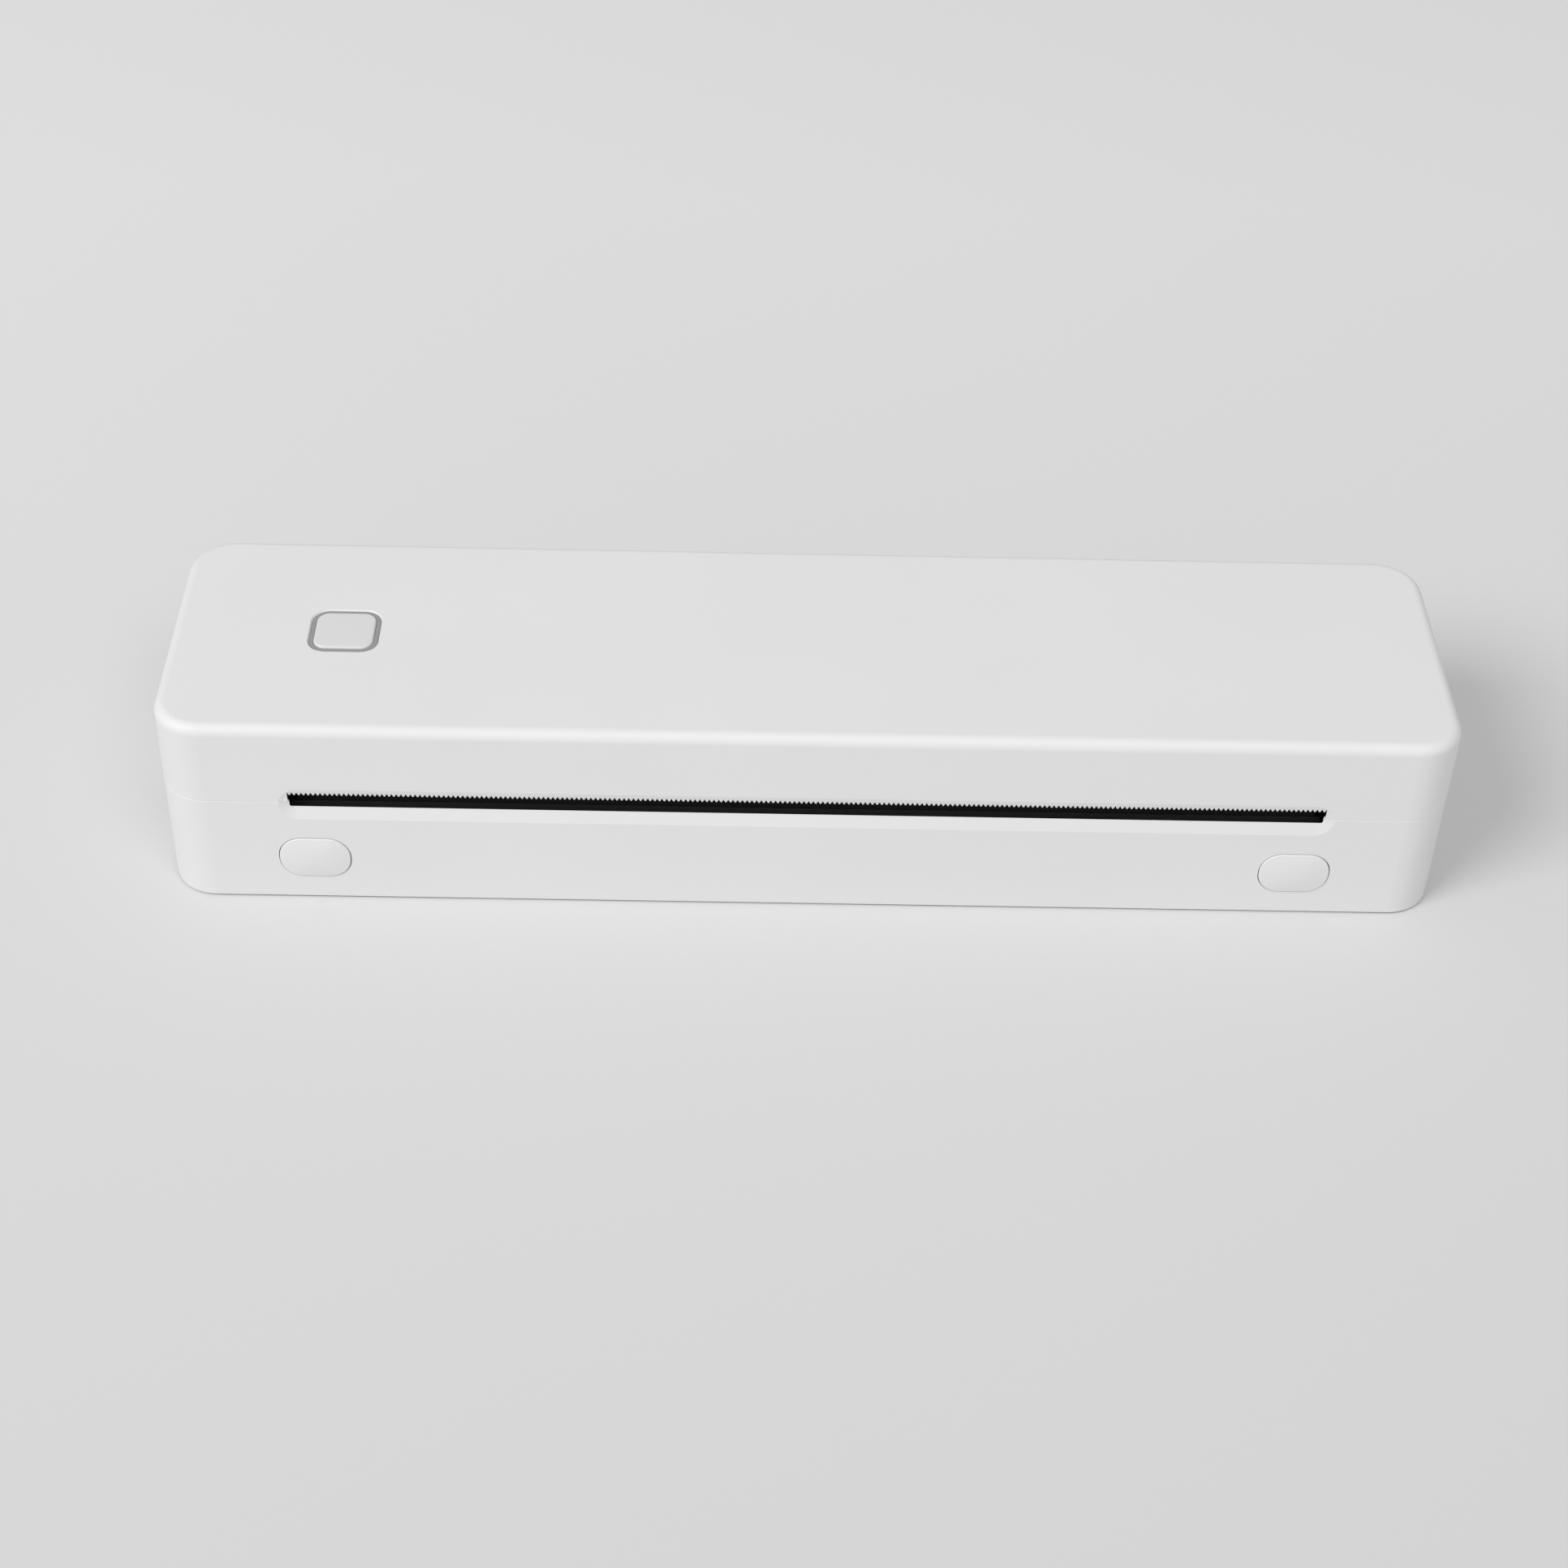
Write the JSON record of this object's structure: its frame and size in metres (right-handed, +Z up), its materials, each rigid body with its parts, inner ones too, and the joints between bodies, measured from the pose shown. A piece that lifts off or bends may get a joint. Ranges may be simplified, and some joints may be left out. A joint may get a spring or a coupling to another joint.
{
  "type": "portable thermal printer",
  "caption": "Slim white A4 thermal printer with a hinged cover, toothed front paper slot, oval latch buttons, a lit square power button, a roll bay and a geared platen.",
  "frame": {"origin": "on the surface that the feet stand on, under the centre of the casing's plan", "axes": "+X to the right of someone facing the paper slot, +Y from the slot to the hinge, +Z up"},
  "size_m": [0.275, 0.0679, 0.0473],
  "materials": {
    "white_shell": "fine satin moulded ABS",
    "white_trim": "satin moulded ABS",
    "black_frame": "fine textured black ABS",
    "black_rubber": "ground silicone rubber",
    "foot_rubber": "matt rubber",
    "steel": "bright turned steel",
    "spring_steel": "drawn spring wire",
    "motor_can": "zinc plated sheet steel",
    "gear_acetal": "natural acetal",
    "pinion_brass": "machined brass",
    "bush_acetal": "dark acetal",
    "head_aluminium": "extruded aluminium",
    "head_ceramic": "glazed alumina",
    "heater_glaze": "glossy glaze over the resistors",
    "driver_resin": "black resin",
    "circuit_board": "solder mask on glass laminate",
    "chip_black": "moulded epoxy",
    "connector_white": "natural nylon",
    "usb_metal": "plated stainless shell",
    "battery_foil": "laminated pouch foil",
    "light_guide": "grey translucent polycarbonate",
    "lamp": "clear epoxy"
  },
  "bodies": {
    "base": {"base_shell": "white_shell", "rubber_feet": "foot_rubber", "inner_frame": "black_frame", "end_frames": "black_frame", "frame_screws": "steel", "battery_cells": "battery_foil", "battery_board": "circuit_board", "main_board": "circuit_board", "board_screws": "steel", "board_chips": "chip_black", "usb_socket": "usb_metal", "paper_sensor": "chip_black", "cover_switch": "chip_black", "platen_bushes": "bush_acetal", "stepper_motor": "motor_can", "motor_screws": "steel", "idler_stud": "steel", "stud_clip": "steel", "hinge_pins": "steel", "latch_spring_left": "spring_steel", "latch_spring_right": "spring_steel"},
    "cover": {"top_cover": "white_shell", "cover_catches": "steel", "tear_bar": "white_trim", "cover_liner": "black_frame", "liner_screws": "steel", "light_ring": "light_guide", "button_board": "circuit_board", "button_board_screws": "steel", "button_switch": "chip_black", "button_lamps": "lamp", "head_pivots": "steel", "head_springs": "spring_steel"},
    "print_head": {"head_heatsink": "head_aluminium", "head_substrate": "head_ceramic", "heater_line": "heater_glaze", "driver_cover": "driver_resin", "head_connector": "connector_white"},
    "button": {"power_button": "white_trim", "switch_plunger": "connector_white"},
    "left_latch": {"latch_left": "white_shell"},
    "right_latch": {"latch_right": "white_shell"},
    "platen": {"platen_shaft": "steel", "platen_rubber": "black_rubber", "platen_clips": "steel", "platen_gear": "gear_acetal"},
    "idler": {"reduction_gear": "gear_acetal"},
    "pinion": {"motor_pinion": "pinion_brass", "motor_shaft": "steel"}
  },
  "joints": [
    {"name": "cover_hinge", "type": "hinge", "parent": "base", "child": "cover", "pos_m": [0, 0.0305, 0.0271], "axis": [-1, 0, 0], "range_deg": [0, 85]},
    {"name": "head_pivot", "type": "hinge", "parent": "cover", "child": "print_head", "pos_m": [0, -0.011, 0.0305], "axis": [-1, 0, 0], "range_deg": [0, 3], "stiffness_Nm_per_rad": 1, "springref_deg": -2.86, "deforming": ["head_springs"]},
    {"name": "button_press", "type": "slide", "parent": "cover", "child": "button", "axis": [0, 0, -1], "range_m": [0, 0.0004], "stiffness_N_per_m": 400, "springref_m": -0.0005},
    {"name": "left_latch_press", "type": "slide", "parent": "base", "child": "left_latch", "axis": [0, 1, 0], "range_m": [0, 0.0015], "stiffness_N_per_m": 600, "springref_m": -0.001, "deforming": ["latch_spring_left"]},
    {"name": "right_latch_press", "type": "slide", "parent": "base", "child": "right_latch", "axis": [0, 1, 0], "range_m": [0, 0.0015], "stiffness_N_per_m": 600, "springref_m": -0.001, "deforming": ["latch_spring_right"]},
    {"name": "platen_spin", "type": "hinge", "parent": "base", "child": "platen", "pos_m": [0, -0.0225, 0.0208], "axis": [1, 0, 0], "continuous": true},
    {"name": "idler_spin", "type": "hinge", "parent": "base", "child": "idler", "pos_m": [0, -0.01402, 0.0155], "axis": [1, 0, 0], "continuous": true},
    {"name": "pinion_spin", "type": "hinge", "parent": "base", "child": "pinion", "pos_m": [0, 0.00034, 0.0135], "axis": [1, 0, 0], "continuous": true}
  ],
  "couplings": [
    {"joint": "idler_spin", "follows": "platen_spin", "ratio": -2.3333},
    {"joint": "pinion_spin", "follows": "platen_spin", "ratio": 7.3333}
  ]
}
